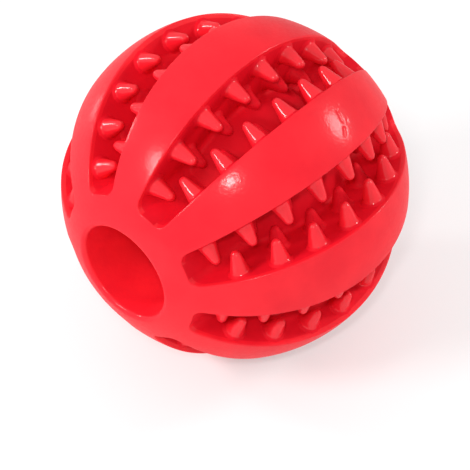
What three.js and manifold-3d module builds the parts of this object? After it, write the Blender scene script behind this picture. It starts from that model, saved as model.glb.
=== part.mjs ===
// A moulded rubber chew ball for dogs: a bored core, a collar round each end of the bore,
// eight ribs that run from collar to collar, and a row of rubber teeth on each wall of the
// eight grooves between the ribs. The bore lies along Y with its photographed end at -Y.
// Millimetres, +Z up, origin at the middle of the ball.
import * as THREE from 'three';
import { mergeVertices } from 'three/addons/utils/BufferGeometryUtils.js';
import Module from 'manifold-3d';

// Driving dimensions of the ball
const BALL_DIAMETER = 70;
const BORE_DIAMETER = 21;
const BORE_MOUTH_ROUNDING = 0.9;
const GROOVE_DEPTH = 12;
const COLLAR_DIAMETER = 33.4;

// Ribs and the grooves between them
const RIB_COUNT = 8;
const RIB_ANGLE = THREE.MathUtils.degToRad(21.7);
const RIB_LIP_THICKNESS = 1;
const GROOVE_CORNER_RADIUS = 2;

// Teeth: two layers on each groove wall at one pitch, each half a pitch from its neighbours
const TOOTH_PITCH = 8.27;
const TOOTH_ROOT_DIAMETER = 3.6;
const TOOTH_TIP_DIAMETER = 1.5;
const TOOTH_TIP_ROUNDING = 0.45;
const OUTER_TOOTH_LENGTH = 5.2;
const OUTER_TOOTH_DEPTH = 3.2;
const INNER_TOOTH_LENGTH = 4.6;
const INNER_TOOTH_DEPTH = 8.7;
const TOOTH_END_MARGIN = 0.6;
const TOOTH_WALL_THICKNESS = 1.2;
const TOOTH_ROOT_SINK = 0.6;

// Clearance between neighbouring pieces
const BOND_GAP = 0.3;

// Facets: how finely round shapes are drawn
const SPHERE_SEGMENTS = 32;
const SPHERE_RINGS = 16;
const TURNED_SEGMENTS = 32;
const TOOTH_SIDES = 6;
const ARC_SEGMENTS = 3;
const CORE_ARC_SEGMENTS = 4;
const COLLAR_ARC_SEGMENTS = 2;
const MERGE_DISTANCE = 1e-5;

// Sizes that follow from the driving dimensions
const BALL_RADIUS = BALL_DIAMETER / 2;
const BORE_RADIUS = BORE_DIAMETER / 2;
const FLOOR_RADIUS = BALL_RADIUS - GROOVE_DEPTH;
const COLLAR_RADIUS = COLLAR_DIAMETER / 2;
const RIB_HALF_ANGLE = RIB_ANGLE / 2;
const RIB_STEP = 2 * Math.PI / RIB_COUNT;
const CORE_HALF_LENGTH = Math.sqrt(FLOOR_RADIUS ** 2 - COLLAR_RADIUS ** 2);
const SEAT_RADIUS = COLLAR_RADIUS + BOND_GAP;
const RIB_SEAT_RADIUS = FLOOR_RADIUS + BOND_GAP;
const LIP_RADIUS = BALL_RADIUS - RIB_LIP_THICKNESS;
const TOOTH_WALL_TOP_RADIUS = LIP_RADIUS - BOND_GAP;
const BEYOND = BALL_DIAMETER;

const RUBBER_RED = 0xe3141f;
const rubber = new THREE.MeshStandardMaterial({ color: RUBBER_RED, roughness: 0.42, metalness: 0 });

const wasm = await Module();
wasm.setup();

// A closed three.js geometry as a solid that can be joined and cut
function solidOf(geometry) {
  const bare = geometry.clone();
  bare.deleteAttribute('normal');
  bare.deleteAttribute('uv');
  const merged = mergeVertices(bare, MERGE_DISTANCE);
  return new wasm.Manifold(new wasm.Mesh({
    numProp: 3,
    vertProperties: new Float32Array(merged.attributes.position.array),
    triVerts: new Uint32Array(merged.index.array),
  }));
}

// A finished solid as a named mesh of red rubber
function meshOf(name, solid) {
  const cut = solid.getMesh();
  const geometry = new THREE.BufferGeometry();
  geometry.setAttribute('position', new THREE.BufferAttribute(cut.vertProperties, 3));
  geometry.setIndex(new THREE.BufferAttribute(cut.triVerts, 1));
  geometry.computeVertexNormals();
  const mesh = new THREE.Mesh(geometry, rubber);
  mesh.name = name;
  return mesh;
}

// A ball round the origin, with its poles on the bore's axis
function ball(radius) {
  return solidOf(new THREE.SphereGeometry(radius, SPHERE_SEGMENTS, SPHERE_RINGS));
}

// A profile turned round the bore's axis
function turned(path, arcSegments) {
  return solidOf(new THREE.LatheGeometry(path.getPoints(arcSegments), TURNED_SEGMENTS));
}

// An outline seen along the bore (across, outwards), drawn out through the whole ball
function alongBore(shape) {
  const geometry = new THREE.ExtrudeGeometry(shape, {
    depth: 2 * BEYOND,
    bevelEnabled: false,
    curveSegments: ARC_SEGMENTS,
  });
  geometry.translate(0, 0, -BEYOND);
  geometry.rotateX(Math.PI / 2);
  return solidOf(geometry);
}

// The core: a barrel that makes the groove floors, with the bore through it
function core() {
  const endAngle = Math.atan2(CORE_HALF_LENGTH, COLLAR_RADIUS);
  const path = new THREE.Path();
  path.moveTo(BORE_RADIUS, -CORE_HALF_LENGTH);
  path.lineTo(COLLAR_RADIUS, -CORE_HALF_LENGTH);
  path.absarc(0, 0, FLOOR_RADIUS, -endAngle, endAngle, false);
  path.lineTo(BORE_RADIUS, CORE_HALF_LENGTH);
  path.lineTo(BORE_RADIUS, -CORE_HALF_LENGTH);
  return meshOf('core', turned(path, CORE_ARC_SEGMENTS));
}

// A collar: the ring of the ball's surface round one mouth of the bore, down to the core
function collar(name) {
  const seat = CORE_HALF_LENGTH + BOND_GAP;
  const mouthRadius = BORE_RADIUS + BORE_MOUTH_ROUNDING;
  const heightAt = (radius) => Math.sqrt(BALL_RADIUS ** 2 - radius ** 2);
  const outerAngle = Math.atan2(heightAt(COLLAR_RADIUS), COLLAR_RADIUS);
  const mouthAngle = Math.atan2(heightAt(mouthRadius), mouthRadius);
  const path = new THREE.Path();
  path.moveTo(BORE_RADIUS, seat);
  path.lineTo(COLLAR_RADIUS, seat);
  path.absarc(0, 0, BALL_RADIUS, outerAngle, mouthAngle, false);
  path.quadraticCurveTo(
    BORE_RADIUS, heightAt(BORE_RADIUS),
    BORE_RADIUS, heightAt(BORE_RADIUS) - BORE_MOUTH_ROUNDING,
  );
  path.lineTo(BORE_RADIUS, seat);
  return meshOf(name, turned(path, COLLAR_ARC_SEGMENTS));
}

// A rib's outline seen along the bore: a wedge whose feet sweep out into the groove corners
function ribOutline() {
  const cornerReach = SEAT_RADIUS + GROOVE_CORNER_RADIUS;
  const cornerAngle = RIB_HALF_ANGLE + Math.asin(GROOVE_CORNER_RADIUS / cornerReach);
  const up = Math.PI / 2;
  const corner = (side) => [
    side * cornerReach * Math.sin(cornerAngle),
    cornerReach * Math.cos(cornerAngle),
  ];
  const shape = new THREE.Shape();
  shape.absarc(0, 0, SEAT_RADIUS, up + cornerAngle, up - cornerAngle, true);
  shape.absarc(
    ...corner(1), GROOVE_CORNER_RADIUS,
    up - cornerAngle + Math.PI, Math.PI - RIB_HALF_ANGLE, true,
  );
  shape.lineTo(BEYOND * Math.sin(RIB_HALF_ANGLE), BEYOND * Math.cos(RIB_HALF_ANGLE));
  shape.lineTo(-BEYOND * Math.sin(RIB_HALF_ANGLE), BEYOND * Math.cos(RIB_HALF_ANGLE));
  shape.absarc(
    ...corner(-1), GROOVE_CORNER_RADIUS,
    RIB_HALF_ANGLE, up + cornerAngle - Math.PI, true,
  );
  return shape;
}

// The outline of a rib's web: the wedge with its two flanks moved in by the wall thickness
function webOutline(inset) {
  const apex = inset / Math.sin(RIB_HALF_ANGLE);
  const shape = new THREE.Shape();
  shape.moveTo(0, apex);
  shape.lineTo(BEYOND * Math.sin(RIB_HALF_ANGLE), apex + BEYOND * Math.cos(RIB_HALF_ANGLE));
  shape.lineTo(-BEYOND * Math.sin(RIB_HALF_ANGLE), apex + BEYOND * Math.cos(RIB_HALF_ANGLE));
  return shape;
}

// A rib: a full-width crown on a narrower web that seats on the core and the collars
function ribSolid(wedge) {
  const web = alongBore(webOutline(TOOTH_WALL_THICKNESS + BOND_GAP));
  const besideWeb = ball(LIP_RADIUS).subtract(web);
  return wedge
    .intersect(ball(BALL_RADIUS))
    .subtract(ball(RIB_SEAT_RADIUS))
    .subtract(besideWeb);
}

// One tooth: a blunt cone that stands on +Y, with a root that sinks into its wall
function toothGeometry(length) {
  const tipRadius = TOOTH_TIP_DIAMETER / 2;
  const rootRadius = TOOTH_ROOT_DIAMETER / 2;
  const shoulder = length - TOOTH_TIP_ROUNDING;
  const sunkRadius = rootRadius + (rootRadius - tipRadius) * TOOTH_ROOT_SINK / shoulder;
  return new THREE.LatheGeometry([
    new THREE.Vector2(0, -TOOTH_ROOT_SINK),
    new THREE.Vector2(sunkRadius, -TOOTH_ROOT_SINK),
    new THREE.Vector2(tipRadius, shoulder),
    new THREE.Vector2(0, length),
  ], TOOTH_SIDES);
}

// Angles from the equator at which a layer's teeth stand clear of the collars
function toothAngles(layerRadius, staggered) {
  const nearest = COLLAR_RADIUS + TOOTH_ROOT_DIAMETER / 2 + TOOTH_END_MARGIN;
  const step = TOOTH_PITCH / layerRadius;
  const first = staggered ? step / 2 : 0;
  const angles = [];
  for (let angle = first; layerRadius * Math.cos(angle) > nearest; angle += step) {
    angles.push(angle);
    if (angle > 0) {
      angles.push(-angle);
    }
  }
  return angles;
}

// The teeth of one layer, standing square on the flank at the given side of a rib
function toothLayer(side, staggered, depth, length) {
  const layerRadius = BALL_RADIUS - depth;
  const outwards = new THREE.Vector3(side * Math.sin(RIB_HALF_ANGLE), 0, Math.cos(RIB_HALF_ANGLE));
  const across = new THREE.Vector3(side * Math.cos(RIB_HALF_ANGLE), 0, -Math.sin(RIB_HALF_ANGLE));
  const turn = new THREE.Quaternion().setFromUnitVectors(new THREE.Vector3(0, 1, 0), across);
  const geometry = toothGeometry(length);
  return toothAngles(layerRadius, staggered).map((angle) => {
    const root = outwards.clone().multiplyScalar(layerRadius * Math.cos(angle));
    root.y = layerRadius * Math.sin(angle);
    const place = new THREE.Matrix4().compose(root, turn, new THREE.Vector3(1, 1, 1));
    return solidOf(geometry.clone().applyMatrix4(place));
  });
}

// A groove wall with its two layers of teeth, on the given side of a rib
function toothRowSolid(wedge, side, outerStaggered) {
  const half = new THREE.BoxGeometry(BEYOND, 2 * BEYOND, 2 * BEYOND);
  half.translate(side * BEYOND / 2, 0, 0);
  const wall = wedge
    .intersect(ball(TOOTH_WALL_TOP_RADIUS))
    .subtract(ball(RIB_SEAT_RADIUS))
    .subtract(alongBore(webOutline(TOOTH_WALL_THICKNESS)))
    .intersect(solidOf(half));
  const teeth = [
    ...toothLayer(side, outerStaggered, OUTER_TOOTH_DEPTH, OUTER_TOOTH_LENGTH),
    ...toothLayer(side, !outerStaggered, INNER_TOOTH_DEPTH, INNER_TOOTH_LENGTH),
  ];
  return teeth.reduce((row, tooth) => row.add(tooth), wall);
}

const chewBall = new THREE.Group();
chewBall.add(core());

const rearCollar = collar('rear_collar');
const frontCollar = collar('front_collar');
frontCollar.rotation.z = Math.PI;
chewBall.add(rearCollar, frontCollar);

// Seen from the front, rib 1 is on top and the others follow clockwise
const ribWedge = alongBore(ribOutline());
const rib = ribSolid(ribWedge);
const leftRow = toothRowSolid(ribWedge, -1, false);
const rightRow = toothRowSolid(ribWedge, 1, true);
for (let count = 1; count <= RIB_COUNT; count += 1) {
  const toothedRib = new THREE.Group();
  toothedRib.add(meshOf(`rib_${count}`, rib));
  toothedRib.add(meshOf(`tooth_row_${count}_left`, leftRow));
  toothedRib.add(meshOf(`tooth_row_${count}_right`, rightRow));
  toothedRib.rotation.y = (count - 1) * RIB_STEP;
  chewBall.add(toothedRib);
}

export default chewBall;
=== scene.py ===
"""Looks of a red moulded rubber chew ball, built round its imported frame.

The real ball is one moulding, so its pieces meet in unbroken skin: a bored core, a collar round
each mouth of the bore, eight ribs, and sixteen toothed walls of the eight grooves.
Lengths are metres in the frame's own axes: the bore along Y, +Z up, the origin mid-ball.
"""
import math
from typing import NamedTuple

import bmesh
import bpy
from bpy.props import FloatProperty, FloatVectorProperty, PointerProperty
from bpy.types import Operator, Panel, PropertyGroup
from mathutils import Matrix, Vector


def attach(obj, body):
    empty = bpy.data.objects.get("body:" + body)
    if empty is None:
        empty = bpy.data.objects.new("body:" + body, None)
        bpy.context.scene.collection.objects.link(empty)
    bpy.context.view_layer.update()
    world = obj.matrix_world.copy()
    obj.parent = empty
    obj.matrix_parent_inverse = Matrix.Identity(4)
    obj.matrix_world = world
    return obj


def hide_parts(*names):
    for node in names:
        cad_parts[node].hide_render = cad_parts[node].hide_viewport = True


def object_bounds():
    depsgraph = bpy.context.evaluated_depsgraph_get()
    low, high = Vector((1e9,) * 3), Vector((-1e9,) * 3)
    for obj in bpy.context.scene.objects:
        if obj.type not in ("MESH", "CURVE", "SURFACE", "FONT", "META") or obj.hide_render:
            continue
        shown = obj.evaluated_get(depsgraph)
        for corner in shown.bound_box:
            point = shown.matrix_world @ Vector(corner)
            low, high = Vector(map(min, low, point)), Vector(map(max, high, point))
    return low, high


bl_info = {
    "name": "Rubber chew ball",
    "version": (1, 0, 0),
    "blender": (4, 5, 0),
    "location": "3D View > Sidebar > Chew ball",
    "description": "Builds a toothed rubber chew ball and its stage round a packed frame",
    "category": "Object",
}

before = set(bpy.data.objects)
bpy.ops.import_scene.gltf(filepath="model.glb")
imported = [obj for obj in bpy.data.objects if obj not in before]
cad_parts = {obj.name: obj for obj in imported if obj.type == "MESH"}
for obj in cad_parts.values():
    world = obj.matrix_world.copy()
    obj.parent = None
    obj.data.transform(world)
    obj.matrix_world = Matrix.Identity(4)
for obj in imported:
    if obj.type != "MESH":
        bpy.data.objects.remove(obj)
CAD_LOW, CAD_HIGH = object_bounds()

MM = 0.001
BODY = "root"
RIB_COUNT = sum(name.startswith("rib_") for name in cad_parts)
RIB_STEP = 2 * math.pi / RIB_COUNT
BORE_AXIS = Vector((0, 1, 0))

# How finely the skins are drawn
TURN_STEPS = 128
BALL_ARC_STEPS = 10
FLOOR_ARC_STEPS = 40
ROUNDING_STEPS = 6
FLANK_STEPS = 40
CORNER_SHARES = (0.14, 0.28, 0.42, 0.56, 0.7, 0.84, 0.96, 1.0)
CROWN_STEPS = 8
WALL_STEPS = 6
TOOTH_STEPS = 12
FLARE_STEPS = 1
TIP_STEPS = 2
CONE_SHARES = (0.12, 0.88)
SCAR_CUTS = 7
GRID_HALF = 0.5

# What lies out of sight behind the skins
HIDDEN_SEAT = 1 * MM
RIB_BACK_WIDTH = 0.5
RIB_BACK_DEPTH = 0.8
WALL_THICKNESS = 1.2 * MM
FLOOR_STRIP = 0.4 * MM
STRIP_LIFT = 0.004 * MM
MERGE_DISTANCE = 0.001 * MM
SHARP_ANGLE = math.radians(50)
CONE_TAPER = math.radians(15)
STRAIGHT_DOWN = 1.5 * math.pi

# The moulding scar on rib 2: each pit runs from one point to another on the crown, as seen
# from straight above it (across the rib, along the bore), with a width and a depth
SCAR_RIB = 2
SCAR_PITS = (
    ((-2.35 * MM, 9.3 * MM), (-1.7 * MM, 8.3 * MM), 0.35 * MM, 0.03 * MM),
    ((-1.6 * MM, 8.05 * MM), (0.45 * MM, 7.6 * MM), 0.4 * MM, 0.08 * MM),
    ((0.85 * MM, 8.75 * MM), (1.15 * MM, 8.6 * MM), 0.35 * MM, 0.04 * MM),
    ((1.75 * MM, 6.95 * MM), (2.95 * MM, 6.05 * MM), 0.36 * MM, 0.1 * MM),
)
SCAR_REACH = 5 * MM

# The floor, which goes over to plain white between two distances from the ball
FLOOR_RADIUS = 3
FLOOR_SIDES = 64
FLOOR_ROUGHNESS = 0.5
FADE_START = 0.15
FADE_END = 0.8
VIEW_RANGE = 10

# Rubber: its own index and that of the skin the mould leaves, which is drawn high so that lamps
# show in it and the pale surrounding doesn't, and the spans and detail of its two noise patterns
RUBBER_IOR = 1.46
SKIN_IOR = 2.5
CLOUD_SPAN = (0.35, 0.65)
CLOUD_DETAIL = 3
GRAIN_SPAN = (0.3, 0.7)
GRAIN_DETAIL = 2


class Finish(NamedTuple):
    """How one skin of the rubber takes the light."""

    smooth: float
    rough: float
    specular: float
    coat: float
    coat_roughness: float
    grain: float


SATIN = Finish(smooth=0.42, rough=0.52, specular=0.06, coat=0.07, coat_roughness=0.17, grain=1)
DULL = Finish(smooth=0.5, rough=0.6, specular=0.08, coat=0, coat_roughness=0.2, grain=0.3)
GLOSSY = Finish(smooth=0.4, rough=0.46, specular=0.05, coat=0.14, coat_roughness=0.07, grain=0.1)

# Lamps: the way to each one and its long axis as the camera sees them (right, up, back), its
# distance, its length and width, and its watts
LAMPS = (
    ("front lamp", (-0.05, 0.04, 1), (0.84, 0.55, 0), 0.9, (0.12, 0.045), 2.3),
    ("left front softbox", (-0.746, 0.162, 0.642), (-0.658, 0.747, -0.09), 0.6, (0.22, 0.12), 1.9),
    ("left upper window", (-0.88, 0.455, 0), (0, 1, 0), 0.6, (0.12, 0.09), 0.9),
    ("left lower window", (-0.959, -0.265, -0.075), (0, 1, 0), 0.6, (0.12, 0.1), 1.1),
    ("left rear softbox", (-0.73, 0.22, -0.65), (0, 1, 0), 0.6, (0.3, 0.12), 1.5),
    ("right softbox", (0.85, 0.5, 0.13), (0, 1, 0), 0.6, (0.15, 0.125), 1.2),
)


def linear(hex_colour):
    """An sRGB hex colour as linear red, green and blue."""
    channels = [int(hex_colour[i:i + 2], 16) / 255 for i in (1, 3, 5)]
    return [c / 12.92 if c <= 0.04045 else ((c + 0.055) / 1.055) ** 2.4 for c in channels]


class BallSizes(PropertyGroup):
    """Sizes of the moulding."""

    ball_diameter: FloatProperty(
        name="Ball", description="Diameter over the ribs",
        default=CAD_HIGH.x - CAD_LOW.x, unit="LENGTH")
    bore_diameter: FloatProperty(
        name="Bore", description="Diameter of the bore from pole to pole",
        default=21 * MM, unit="LENGTH")
    mouth_rounding: FloatProperty(
        name="Mouth rounding", description="Radius of the rounded edge at each mouth of the bore",
        default=0.9 * MM, unit="LENGTH")
    groove_depth: FloatProperty(
        name="Groove depth", description="From the ball's surface down to the groove floor",
        default=12 * MM, unit="LENGTH")
    collar_diameter: FloatProperty(
        name="Collar", description="Diameter of the collar that closes the ends of the grooves",
        default=33.4 * MM, unit="LENGTH")
    rib_angle: FloatProperty(
        name="Rib width", description="Angle round the bore that one rib takes",
        default=math.radians(21.7), subtype="ANGLE")
    rim_rounding: FloatProperty(
        name="Rim rounding", description="Radius of the rounded rim of every groove",
        default=0.3 * MM, unit="LENGTH")
    lip: FloatProperty(
        name="Lip", description="Depth of a rib's crown at its flanks, above the toothed wall",
        default=1 * MM, unit="LENGTH")
    corner_radius: FloatProperty(
        name="Groove corner", description="Radius of the corners at the ends of a groove",
        default=2 * MM, unit="LENGTH")
    floor_fillet: FloatProperty(
        name="Floor fillet", description="Radius between a groove's walls and its floor",
        default=1 * MM, unit="LENGTH")


class ToothSizes(PropertyGroup):
    """Sizes of the rubber teeth."""

    pitch: FloatProperty(
        name="Pitch", description="Distance between teeth along their row",
        default=8.27 * MM, unit="LENGTH")
    root_diameter: FloatProperty(
        name="Root", description="Diameter of a tooth just above its flared root",
        default=4 * MM, unit="LENGTH")
    tip_diameter: FloatProperty(
        name="Tip", description="Diameter of a tooth's round tip",
        default=2 * MM, unit="LENGTH")
    flare: FloatProperty(
        name="Root flare", description="Radius of the fillet between a tooth and its wall",
        default=0.6 * MM, unit="LENGTH")
    outer_depth: FloatProperty(
        name="Outer depth", description="Depth of the outer layer under the ball's surface",
        default=3.2 * MM, unit="LENGTH")
    inner_depth: FloatProperty(
        name="Inner depth", description="Depth of the inner layer under the ball's surface",
        default=8.7 * MM, unit="LENGTH")
    outer_length: FloatProperty(
        name="Outer length", description="Length of the outer layer's teeth",
        default=5.2 * MM, unit="LENGTH")
    inner_length: FloatProperty(
        name="Inner length", description="Length of the inner layer's teeth",
        default=4.6 * MM, unit="LENGTH")
    end_margin: FloatProperty(
        name="End margin", description="Least gap between a root and the collar",
        default=0.6 * MM, unit="LENGTH")


class RubberLook(PropertyGroup):
    """Colours and finish of the rubber."""

    red: FloatVectorProperty(
        name="Red", description="Colour of the rubber", subtype="COLOR", size=3,
        default=linear("#ef202d"))
    deep_red: FloatVectorProperty(
        name="Deep red", description="Colour of the darker clouds in the rubber", subtype="COLOR",
        size=3, default=linear("#e41828"))
    # The two groove reds are painted shade: the rubber's red made deeper for the shade that falls in
    # the grooves.
    groove_painted_shade_red: FloatVectorProperty(
        name="Groove red", description="Colour of the dull skin in the grooves",
        subtype="COLOR", size=3, default=linear("#e21326"))
    groove_painted_shade_deep_red: FloatVectorProperty(
        name="Groove deep red", description="Colour of the darker clouds in that skin",
        subtype="COLOR", size=3, default=linear("#d60f21"))
    cloud_size: FloatProperty(
        name="Cloud size", description="Width of the faint clouds in the colour",
        default=9 * MM, unit="LENGTH")
    grain_size: FloatProperty(
        name="Grain size", description="Width of the grain that the mould leaves on the ribs",
        default=0.7 * MM, unit="LENGTH")
    grain_depth: FloatProperty(
        name="Grain depth", description="Depth of that grain",
        default=0.03 * MM, unit="LENGTH")


class StageLook(PropertyGroup):
    """Camera, lights and floor."""

    camera_azimuth: FloatProperty(
        name="Azimuth", description="Camera's turn round Z from looking along +Y",
        default=math.radians(46.4), subtype="ANGLE")
    camera_elevation: FloatProperty(
        name="Elevation", description="Camera's height above the horizon",
        default=math.radians(40.6), subtype="ANGLE")
    camera_roll: FloatProperty(
        name="Roll", description="How far the camera's right side dips",
        default=math.radians(6.4), subtype="ANGLE")
    camera_distance: FloatProperty(
        name="Distance", description="From the camera to the point that it looks at",
        default=1.05, unit="LENGTH")
    aim_drop: FloatProperty(
        name="Aim drop", description="How far below the ball's middle the camera looks",
        default=9.95 * MM, unit="LENGTH")
    focal_length: FloatProperty(
        name="Focal length", description="Lens, in millimetres",
        default=400, subtype="NONE")
    world_light: FloatProperty(
        name="Surrounding light", description="Strength of the even light all round", default=0.58)
    floor_white: FloatVectorProperty(
        name="Floor", description="Colour of the floor", subtype="COLOR", size=3,
        default=linear("#f6f6f6"))
    floor_whiteness: FloatProperty(
        name="Floor whiteness", description="Share of plain white in the floor beside the ball",
        default=0.4, min=0, max=1, subtype="FACTOR")


def on_ball(across, radius):
    """The point (across, along the bore) at a distance from the bore's axis on a ball."""
    return Vector((across, math.sqrt(radius ** 2 - across ** 2)))


def heading(point):
    """The direction of a profile point seen from the ball's middle, as an angle."""
    return math.atan2(point.y, point.x)


def arc(centre, radius, start, end, steps):
    """Points along an arc in a profile, ends included."""
    angles = [start + (end - start) * i / steps for i in range(steps + 1)]
    return [centre + radius * Vector((math.cos(a), math.sin(a))) for a in angles]


def chain(mesh, points):
    """New vertices joined one to the next by edges."""
    verts = [mesh.verts.new(point) for point in points]
    edges = [mesh.edges.new(pair) for pair in zip(verts, verts[1:])]
    return verts + edges


def turned(profile, towards):
    """A closed profile spun round the bore, towards the rear (1) or the front (-1)."""
    mesh = bmesh.new()
    points = [Vector((point.x, towards * point.y, 0)) for point in profile]
    bmesh.ops.spin(mesh, geom=chain(mesh, points + points[:1]), cent=(0, 0, 0), axis=BORE_AXIS,
                   angle=2 * math.pi, steps=TURN_STEPS, use_merge=True)
    return mesh


def core_profile(sizes):
    """The barrel whose outside is the floor of the grooves, with the bore inside it."""
    floor = sizes.ball_diameter / 2 - sizes.groove_depth
    shoulder = on_ball(sizes.collar_diameter / 2, floor)
    bore = sizes.bore_diameter / 2
    barrel = arc(Vector((0, 0)), floor, -heading(shoulder), heading(shoulder), FLOOR_ARC_STEPS)
    return [*barrel, Vector((bore, shoulder.y)), Vector((bore, -shoulder.y))]


def collar_profile(sizes):
    """Bore, rounded mouth, ball surface, rounded rim, end wall of the grooves and its fillet."""
    ball = sizes.ball_diameter / 2
    floor = ball - sizes.groove_depth
    bore = sizes.bore_diameter / 2
    collar = sizes.collar_diameter / 2
    rim = sizes.rim_rounding
    fillet = sizes.floor_fillet
    seat = on_ball(collar, floor).y
    mouth_centre = on_ball(bore + sizes.mouth_rounding, ball - sizes.mouth_rounding)
    rim_centre = on_ball(collar - rim, ball - rim)
    fillet_centre = on_ball(collar + fillet, floor + fillet)
    mouth = heading(mouth_centre)
    edge = heading(rim_centre)
    foot = heading(fillet_centre)
    return [
        Vector((bore, seat)),
        *arc(mouth_centre, sizes.mouth_rounding, math.pi, mouth, ROUNDING_STEPS),
        *arc(Vector((0, 0)), ball, mouth, edge, BALL_ARC_STEPS),
        *arc(rim_centre, rim, edge, 0, ROUNDING_STEPS),
        *arc(fillet_centre, fillet, math.pi, math.pi + foot, ROUNDING_STEPS),
        on_ball(collar + fillet + FLOOR_STRIP, floor + STRIP_LIFT),
        Vector((collar - HIDDEN_SEAT, seat)),
    ]


def beside_wall(sizes, along, offset, radius):
    """A point beside the groove wall on the +X side of rib 1, and the way out of that wall.

    along runs from 0 at the equator to 1 where the groove's corner starts and 2 where the corner
    meets the collar. offset is the distance out from the wall, radius that from the ball's middle.
    """
    half_angle = sizes.rib_angle / 2
    outwards = Vector((math.sin(half_angle), 0, math.cos(half_angle)))
    across = Vector((math.cos(half_angle), 0, -math.sin(half_angle)))
    corner = sizes.corner_radius
    reach = sizes.collar_diameter / 2 + corner
    corner_start = math.sqrt(reach ** 2 - corner ** 2)
    if along <= 1:
        swing = math.sqrt(radius ** 2 - offset ** 2)
        angle = along * math.acos(corner_start / swing)
        flank = outwards * math.cos(angle) + BORE_AXIS * math.sin(angle)
        return across * offset + flank * swing, across
    turn = (along - 1) * math.acos(corner / reach)
    normal = across * math.cos(turn) + outwards * math.sin(turn)
    point = outwards * corner_start + across * corner - normal * (corner - offset)
    point.y = math.sqrt(radius ** 2 - point.length_squared)
    return point, normal


def rib_point(sizes, along, across):
    """A point of rib 1's skin: across is up to 1 on the crown, 2 round the rim, 3 at the lip."""
    ball = sizes.ball_diameter / 2
    rim = sizes.rim_rounding
    side = abs(across)
    end = abs(along)
    centre, normal = beside_wall(sizes, end, -rim, ball - rim)
    if side <= 1:
        edge = centre.normalized()
        longitude = side * math.atan2(edge.x, edge.z)
        spread = math.hypot(edge.x, edge.z)
        point = ball * Vector((spread * math.sin(longitude), edge.y, spread * math.cos(longitude)))
    elif side <= 2:
        point = centre + rim * centre.normalized().slerp(normal, side - 1)
    else:
        point, normal = beside_wall(sizes, end, 0, ball - sizes.lip)
    return Vector((math.copysign(point.x, across), math.copysign(point.y, along), point.z))


def wall_point(sizes, along, down, side):
    """A point of a toothed wall's skin.

    down is 0 at the lip, 1 at the fillet, 2 where the fillet meets the floor and 3 on that floor.
    """
    floor = sizes.ball_diameter / 2 - sizes.groove_depth
    fillet = sizes.floor_fillet
    end = abs(along)
    centre, normal = beside_wall(sizes, end, fillet, floor + fillet)
    if down <= 1:
        top = sizes.ball_diameter / 2 - sizes.lip
        foot = (centre - normal * fillet).length
        point, normal = beside_wall(sizes, end, 0, top + (foot - top) * down)
    elif down <= 2:
        point = centre + fillet * (-normal).slerp(-centre.normalized(), down - 1)
    else:
        point, normal = beside_wall(sizes, end, fillet + FLOOR_STRIP, floor + STRIP_LIFT)
    return Vector((side * point.x, math.copysign(point.y, along), point.z))


def stations_along():
    """Stations from the front end of a groove wall to its rear end."""
    flank = [i / FLANK_STEPS for i in range(FLANK_STEPS + 1)]
    half = flank + [1 + share for share in CORNER_SHARES]
    return [-along for along in reversed(half[1:])] + half


def skin(rows, columns, place):
    """A grid of faces laid on a surface: place gives the point for each row and column."""
    mesh = bmesh.new()
    last_row = len(rows) - 1
    last_column = len(columns) - 1
    bmesh.ops.create_grid(mesh, x_segments=last_row, y_segments=last_column, size=GRID_HALF)
    for vert in mesh.verts:
        row = rows[round((vert.co.x + GRID_HALF) * last_row)]
        column = columns[round((vert.co.y + GRID_HALF) * last_column)]
        vert.co = place(row, column)
    for edge in mesh.edges:
        edge.smooth = not edge.is_boundary
    return mesh


def rib_mesh(sizes):
    """Rib 1: crown, rounded rims and lips, closed by a narrower back that stays out of sight."""
    crown = [i / CROWN_STEPS for i in range(CROWN_STEPS + 1)]
    rim = [1 + i / ROUNDING_STEPS for i in range(1, ROUNDING_STEPS + 1)]
    half = crown + rim + [3]
    columns = [-across for across in reversed(half[1:])] + half
    mesh = skin(stations_along(), columns, lambda along, across: rib_point(sizes, along, across))
    back = bmesh.ops.extrude_face_region(mesh, geom=mesh.faces[:], use_keep_orig=True)["geom"]
    bmesh.ops.scale(mesh, vec=(RIB_BACK_WIDTH, RIB_BACK_DEPTH, RIB_BACK_DEPTH),
                    verts=[part for part in back if isinstance(part, bmesh.types.BMVert)])
    return mesh


def press_scar(mesh, sizes):
    """The shallow pits of the moulding scar, pressed into a finely cut patch of a crown."""
    ball = sizes.ball_diameter / 2
    ends = [Vector(end) for pit in SCAR_PITS for end in pit[:2]]
    middle = sum(ends, Vector((0, 0))) / len(ends)

    def near(vert):
        on_crown = vert.co.z > 0 and abs(vert.co.length - ball) < MERGE_DISTANCE
        return on_crown and (vert.co.xy - middle).length < SCAR_REACH

    patch = [edge for edge in mesh.edges if all(near(vert) for vert in edge.verts)]
    cut = bmesh.ops.subdivide_edges(mesh, edges=patch, cuts=SCAR_CUTS, use_grid_fill=True)
    verts = {part for part in cut["geom"] if isinstance(part, bmesh.types.BMVert)}
    for vert in verts:
        depth = sum(pit_depth(vert.co.xy, *pit) for pit in SCAR_PITS)
        vert.co = vert.co.normalized() * (ball - depth)


def pit_depth(spot, start, end, width, depth):
    """How deep one pit is at a spot: deepest along its line and fading over its width."""
    start = Vector(start)
    run = Vector(end) - start
    share = min(max((spot - start).dot(run) / run.length_squared, 0), 1)
    distance = (spot - start - run * share).length
    return depth * math.exp(-(distance / width) ** 2)


def tooth_profile(teeth, length):
    """A tooth from its buried root, over its flare and its cone, to its round tip."""
    root = teeth.root_diameter / 2
    tip = teeth.tip_diameter / 2
    flare = teeth.flare
    flare_centre = Vector((root + flare, flare))
    tip_centre = Vector((0, length - tip))
    foot = arc(flare_centre, flare, STRAIGHT_DOWN, math.pi + CONE_TAPER, FLARE_STEPS)
    cap = arc(tip_centre, tip, CONE_TAPER, math.pi / 2, TIP_STEPS)
    cone = [foot[-1].lerp(cap[0], share) for share in CONE_SHARES]
    return [Vector((0, -flare)), *foot, *cone, *cap]


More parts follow.
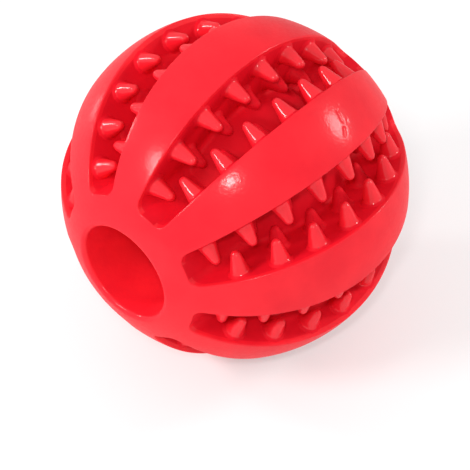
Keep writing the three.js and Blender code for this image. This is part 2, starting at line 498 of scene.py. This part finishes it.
def add_tooth(mesh, profile, root, way):
    """One tooth spun round the line that stands on its root."""
    side = way.cross(BORE_AXIS).normalized()
    points = [root + side * point.x + way * point.y for point in profile]
    bmesh.ops.spin(mesh, geom=chain(mesh, points), cent=root, axis=way,
                   angle=2 * math.pi, steps=TOOTH_STEPS, use_merge=True)


def tooth_angles(sizes, teeth, radius, staggered):
    """Angles from the equator at which a layer's teeth stand clear of the collars."""
    nearest = sizes.collar_diameter / 2 + teeth.root_diameter / 2 + teeth.end_margin
    step = teeth.pitch / radius
    angle = step / 2 if staggered else 0
    angles = []
    while radius * math.cos(angle) > nearest:
        angles += [angle, -angle] if angle else [angle]
        angle += step
    return angles


def tooth_row_mesh(sizes, teeth, side):
    """Rib 1's toothed wall on one side: -1 is its left and 1 its right, seen from the front."""
    columns = [i / WALL_STEPS for i in range(WALL_STEPS)]
    columns += [1 + i / ROUNDING_STEPS for i in range(ROUNDING_STEPS + 1)] + [3]
    mesh = skin(stations_along(), columns, lambda along, down: wall_point(sizes, along, down, side))
    bmesh.ops.recalc_face_normals(mesh, faces=mesh.faces)
    way = Vector((side * math.cos(sizes.rib_angle / 2), 0, -math.sin(sizes.rib_angle / 2)))
    if sum((face.normal.dot(way) for face in mesh.faces), 0) < 0:
        bmesh.ops.reverse_faces(mesh, faces=mesh.faces)
    bmesh.ops.solidify(mesh, geom=mesh.faces[:], thickness=WALL_THICKNESS)
    outwards = Vector((side * math.sin(sizes.rib_angle / 2), 0, math.cos(sizes.rib_angle / 2)))
    right = side > 0
    # The inner layer comes first, so only the outer one stays out of the dull, shade-painted faces
    for depth, length, staggered in (
        (teeth.inner_depth, teeth.inner_length, not right),
        (teeth.outer_depth, teeth.outer_length, right),
    ):
        dull = set(mesh.faces)
        radius = sizes.ball_diameter / 2 - depth
        profile = tooth_profile(teeth, length)
        for angle in tooth_angles(sizes, teeth, radius, staggered):
            root = radius * (outwards * math.cos(angle) + BORE_AXIS * math.sin(angle))
            add_tooth(mesh, profile, root, way)
    for face in mesh.faces:
        above_root = face.calc_center_median().dot(way) > teeth.flare
        face.material_index = int(above_root and face not in dull)
    return mesh


def finish_and_shade_grooves(mesh, sizes):
    """Give the dull skin with its painted shade to the faces that look into a groove, and not to
    those of the bore.
    """
    beyond_bore = (sizes.bore_diameter + sizes.collar_diameter) / 4
    for face in mesh.faces:
        middle = face.calc_center_median()
        deep = sizes.ball_diameter / 2 - middle.length > sizes.lip
        face.material_index = int(deep and math.hypot(middle.x, middle.z) > beyond_bore)


def make_piece(node, mesh, materials, turn=0):
    """A finished piece that stands for a CAD node, turned into its place round the bore."""
    bmesh.ops.remove_doubles(mesh, verts=mesh.verts, dist=MERGE_DISTANCE)
    bmesh.ops.recalc_face_normals(mesh, faces=mesh.faces)
    if not all(edge.is_manifold for edge in mesh.edges):
        raise RuntimeError(f"the skin of {node} isn't closed")
    for edge in mesh.edges:
        edge.smooth = edge.smooth and edge.calc_face_angle() < SHARP_ANGLE
    for face in mesh.faces:
        face.smooth = True
    data = bpy.data.meshes.new(f"{node}_skin")
    mesh.to_mesh(data)
    data.transform(Matrix.Rotation(turn, 4, BORE_AXIS))
    for material in materials:
        data.materials.append(material)
    piece = bpy.data.objects.new(f"{node}_skin", data)
    bpy.context.scene.collection.objects.link(piece)
    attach(piece, BODY)
    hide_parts(node)
    return piece


def add_node(tree, kind, settings=None, **inputs):
    """A new node with its settings, and its inputs set to values or linked to outputs.

    An input goes by its name, or by i and its number.
    """
    node = tree.nodes.new(kind)
    for name, value in (settings or {}).items():
        setattr(node, name, value)
    for name, value in inputs.items():
        number = name[1:]
        socket = node.inputs[int(number) if number.isdigit() else name.replace("_", " ")]
        if isinstance(value, bpy.types.NodeSocket):
            tree.links.new(value, socket)
        else:
            socket.default_value = value
    return node


def moulded_rubber(name, look, red, deep_red, finish):
    """Compression-moulded silicone-like rubber, coloured through.

    It gives the eye a saturated red with faint darker clouds, a broad satin sheen, and where the
    mould was polished a sharp glint on top of it. The real grain is finer than a tenth of a
    millimetre: it is drawn coarser so that it shows.
    """
    material = bpy.data.materials.new(name)
    material.use_nodes = True
    tree = material.node_tree
    tree.nodes.clear()
    place = add_node(tree, "ShaderNodeTexCoord").outputs["Object"]
    clouds = add_node(tree, "ShaderNodeTexNoise", Vector=place, Scale=1 / look.cloud_size,
                      Detail=CLOUD_DETAIL)
    colour = add_node(tree, "ShaderNodeValToRGB", Fac=clouds.outputs["Fac"])
    for stop, position, shade in zip(colour.color_ramp.elements, CLOUD_SPAN, (deep_red, red)):
        stop.position = position
        stop.color = (*shade, 1)
    grains = add_node(tree, "ShaderNodeTexNoise", Vector=place, Scale=1 / look.grain_size,
                      Detail=GRAIN_DETAIL)
    roughness = add_node(tree, "ShaderNodeMapRange", Value=grains.outputs["Fac"],
                         From_Min=GRAIN_SPAN[0], From_Max=GRAIN_SPAN[1],
                         To_Min=finish.smooth, To_Max=finish.rough)
    bump = add_node(tree, "ShaderNodeBump", Height=grains.outputs["Fac"], Strength=finish.grain,
                    Distance=look.grain_depth)
    shader = add_node(tree, "ShaderNodeBsdfPrincipled",
                      Base_Color=colour.outputs["Color"], Roughness=roughness.outputs["Result"],
                      Normal=bump.outputs["Normal"], IOR=RUBBER_IOR,
                      Specular_IOR_Level=finish.specular, Coat_Weight=finish.coat,
                      Coat_Roughness=finish.coat_roughness, Coat_IOR=SKIN_IOR,
                      Coat_Normal=bump.outputs["Normal"])
    add_node(tree, "ShaderNodeOutputMaterial", Surface=shader.outputs["BSDF"])
    return material


def rib_rubber(look):
    """Skin of the outside and the bore: satin from handling, with a fine mould grain."""
    name = "moulded rubber, satin skin"
    made = bpy.data.materials.get(name)
    return made or moulded_rubber(name, look, look.red, look.deep_red, SATIN)


def groove_rubber(look):
    """Skin of the grooves: dull, as it comes from a blasted mould, and painted a deeper red for the
    shade that falls in the grooves.
    """
    name = "moulded rubber, dull skin with painted shade"
    made = bpy.data.materials.get(name)
    return made or moulded_rubber(name, look, look.groove_painted_shade_red, look.groove_painted_shade_deep_red, DULL)


def tooth_rubber(look):
    """Skin of the outer teeth: shiny, because their pockets in the mould are polished."""
    name = "moulded rubber, glossy skin"
    made = bpy.data.materials.get(name)
    return made or moulded_rubber(name, look, look.red, look.deep_red, GLOSSY)


class CHEWBALL_OT_core(Operator):
    """Turn the bored core, whose outside is the floor of the grooves"""

    bl_idname = "chew_ball.core"
    bl_label = "Core"

    def execute(self, context):
        sizes = context.scene.chew_ball_sizes
        look = context.scene.chew_ball_rubber
        mesh = turned(core_profile(sizes), 1)
        finish_and_shade_grooves(mesh, sizes)
        make_piece("core", mesh, [rib_rubber(look), groove_rubber(look)])
        return {"FINISHED"}


class CHEWBALL_OT_collars(Operator):
    """Turn the two collars round the mouths of the bore"""

    bl_idname = "chew_ball.collars"
    bl_label = "Collars"

    def execute(self, context):
        sizes = context.scene.chew_ball_sizes
        look = context.scene.chew_ball_rubber
        rubbers = [rib_rubber(look), groove_rubber(look)]
        for node, towards in (("rear_collar", 1), ("front_collar", -1)):
            mesh = turned(collar_profile(sizes), towards)
            finish_and_shade_grooves(mesh, sizes)
            make_piece(node, mesh, rubbers)
        return {"FINISHED"}


class CHEWBALL_OT_ribs(Operator):
    """Lay the skins of the ribs, and press the moulding scar into one of them"""

    bl_idname = "chew_ball.ribs"
    bl_label = "Ribs"

    def execute(self, context):
        sizes = context.scene.chew_ball_sizes
        rubber = rib_rubber(context.scene.chew_ball_rubber)
        for number in range(1, RIB_COUNT + 1):
            mesh = rib_mesh(sizes)
            if number == SCAR_RIB:
                press_scar(mesh, sizes)
            make_piece(f"rib_{number}", mesh, [rubber], (number - 1) * RIB_STEP)
        return {"FINISHED"}


class CHEWBALL_OT_tooth_rows(Operator):
    """Lay the walls of the grooves and stand their teeth on them"""

    bl_idname = "chew_ball.tooth_rows"
    bl_label = "Toothed walls"

    def execute(self, context):
        sizes = context.scene.chew_ball_sizes
        teeth = context.scene.chew_ball_teeth
        look = context.scene.chew_ball_rubber
        rubbers = [groove_rubber(look), tooth_rubber(look)]
        for number in range(1, RIB_COUNT + 1):
            for word, side in (("left", -1), ("right", 1)):
                mesh = tooth_row_mesh(sizes, teeth, side)
                make_piece(f"tooth_row_{number}_{word}", mesh, rubbers, (number - 1) * RIB_STEP)
        return {"FINISHED"}


def add_camera(stage):
    """The camera at the photographed angle, and its turn in the frame's axes."""
    turn = (
        Matrix.Rotation(stage.camera_azimuth, 4, "Z")
        @ Matrix.Rotation(math.pi / 2 - stage.camera_elevation, 4, "X")
        @ Matrix.Rotation(-stage.camera_roll, 4, "Z")
    )
    data = bpy.data.cameras.new("camera")
    data.lens = stage.focal_length
    data.clip_end = VIEW_RANGE
    camera = bpy.data.objects.new("camera", data)
    bpy.context.scene.collection.objects.link(camera)
    camera.matrix_world = turn @ Matrix.Translation((0, -stage.aim_drop, stage.camera_distance))
    bpy.context.scene.camera = camera
    return turn


def add_lamp(turn, name, way, long_axis, distance, size, watts):
    """An oval soft lamp that faces the ball, placed and turned as the camera sees it."""
    data = bpy.data.lights.new(name, "AREA")
    data.shape = "ELLIPSE"
    data.size, data.size_y = size
    data.energy = watts
    lamp = bpy.data.objects.new(name, data)
    bpy.context.scene.collection.objects.link(lamp)
    facing = Vector(way).normalized()
    width = facing.cross(Vector(long_axis)).normalized()
    axes = Matrix((width.cross(facing), width, facing)).transposed().to_4x4()
    lamp.matrix_world = turn @ Matrix.Translation(facing * distance) @ axes


def seen_rays(tree):
    """1 for rays from the camera, from a reflection or through glass, and 0 for light's own rays."""
    path = add_node(tree, "ShaderNodeLightPath").outputs
    seen = add_node(tree, "ShaderNodeMath", {"operation": "MAXIMUM"},
                    i0=path["Is Camera Ray"], i1=path["Is Glossy Ray"]).outputs["Value"]
    return add_node(tree, "ShaderNodeMath", {"operation": "MAXIMUM"},
                    i0=seen, i1=path["Is Transmission Ray"]).outputs["Value"]


def add_floor(stage):
    """A white painted floor under the ball, which looks whiter than its light makes it.

    It goes over to plain white away from the ball, so no horizon shows and the shadow stays.
    """
    material = bpy.data.materials.new("white painted floor")
    material.use_nodes = True
    tree = material.node_tree
    tree.nodes.clear()
    paint = add_node(tree, "ShaderNodeBsdfPrincipled", Base_Color=(*stage.floor_white, 1),
                     Roughness=FLOOR_ROUGHNESS)
    white = add_node(tree, "ShaderNodeEmission", Color=(1, 1, 1, 1), Strength=1)
    place = add_node(tree, "ShaderNodeTexCoord").outputs["Object"]
    away = add_node(tree, "ShaderNodeVectorMath", {"operation": "LENGTH"}, i0=place).outputs["Value"]
    fade = add_node(tree, "ShaderNodeMapRange", Value=away, From_Min=FADE_START, From_Max=FADE_END,
                    To_Min=stage.floor_whiteness, To_Max=1).outputs["Result"]
    share = add_node(tree, "ShaderNodeMath", {"operation": "MULTIPLY"},
                     i0=seen_rays(tree), i1=fade).outputs["Value"]
    mixed = add_node(tree, "ShaderNodeMixShader", i0=share,
                     i1=paint.outputs["BSDF"], i2=white.outputs["Emission"])
    add_node(tree, "ShaderNodeOutputMaterial", Surface=mixed.outputs["Shader"])
    mesh = bmesh.new()
    bmesh.ops.create_circle(mesh, cap_ends=True, segments=FLOOR_SIDES, radius=FLOOR_RADIUS)
    data = bpy.data.meshes.new("floor")
    mesh.to_mesh(data)
    data.transform(Matrix.Translation((0, 0, CAD_LOW.z)))
    data.materials.append(material)
    floor = bpy.data.objects.new("floor", data)
    bpy.context.scene.collection.objects.link(floor)


def light_world(stage):
    """An even white surrounding, which the camera and reflections see as plain white."""
    world = bpy.data.worlds.new("white surrounding")
    world.use_nodes = True
    tree = world.node_tree
    tree.nodes.clear()
    light = add_node(tree, "ShaderNodeBackground", Color=(1, 1, 1, 1), Strength=stage.world_light)
    white = add_node(tree, "ShaderNodeBackground", Color=(1, 1, 1, 1), Strength=1)
    mixed = add_node(tree, "ShaderNodeMixShader", i0=seen_rays(tree),
                     i1=light.outputs["Background"], i2=white.outputs["Background"])
    add_node(tree, "ShaderNodeOutputWorld", Surface=mixed.outputs["Shader"])
    bpy.context.scene.world = world


class CHEWBALL_OT_stage(Operator):
    """Set the floor, the lights and the camera"""

    bl_idname = "chew_ball.stage"
    bl_label = "Stage"

    def execute(self, context):
        stage = context.scene.chew_ball_stage
        context.scene.view_settings.view_transform = "Standard"
        turn = add_camera(stage)
        add_floor(stage)
        light_world(stage)
        for lamp in LAMPS:
            add_lamp(turn, *lamp)
        return {"FINISHED"}


class CHEWBALL_PT_panel(Panel):
    """Sizes, finish and building steps of the chew ball"""

    bl_idname = "CHEWBALL_PT_panel"
    bl_label = "Chew ball"
    bl_space_type = "VIEW_3D"
    bl_region_type = "UI"
    bl_category = "Chew ball"

    def draw(self, context):
        for operator in OPERATORS:
            self.layout.operator(operator.bl_idname)
        for name in GROUPS:
            group = getattr(context.scene, name)
            column = self.layout.column(align=True)
            for setting in group.__annotations__:
                column.prop(group, setting)


GROUPS = {
    "chew_ball_sizes": BallSizes,
    "chew_ball_teeth": ToothSizes,
    "chew_ball_rubber": RubberLook,
    "chew_ball_stage": StageLook,
}
OPERATORS = (
    CHEWBALL_OT_core,
    CHEWBALL_OT_collars,
    CHEWBALL_OT_ribs,
    CHEWBALL_OT_tooth_rows,
    CHEWBALL_OT_stage,
)


def register():
    """Make the settings, the operators and the panel known to Blender."""
    for name, group in GROUPS.items():
        bpy.utils.register_class(group)
        setattr(bpy.types.Scene, name, PointerProperty(type=group))
    for operator in OPERATORS:
        bpy.utils.register_class(operator)
    bpy.utils.register_class(CHEWBALL_PT_panel)


def unregister():
    """Take them away again."""
    bpy.utils.unregister_class(CHEWBALL_PT_panel)
    for operator in reversed(OPERATORS):
        bpy.utils.unregister_class(operator)
    for name, group in reversed(GROUPS.items()):
        delattr(bpy.types.Scene, name)
        bpy.utils.unregister_class(group)


def main():
    """Build the ball and its stage."""
    register()
    bpy.ops.chew_ball.stage()
    bpy.ops.chew_ball.core()
    bpy.ops.chew_ball.collars()
    bpy.ops.chew_ball.ribs()
    bpy.ops.chew_ball.tooth_rows()


if __name__ == "__main__":
    main()
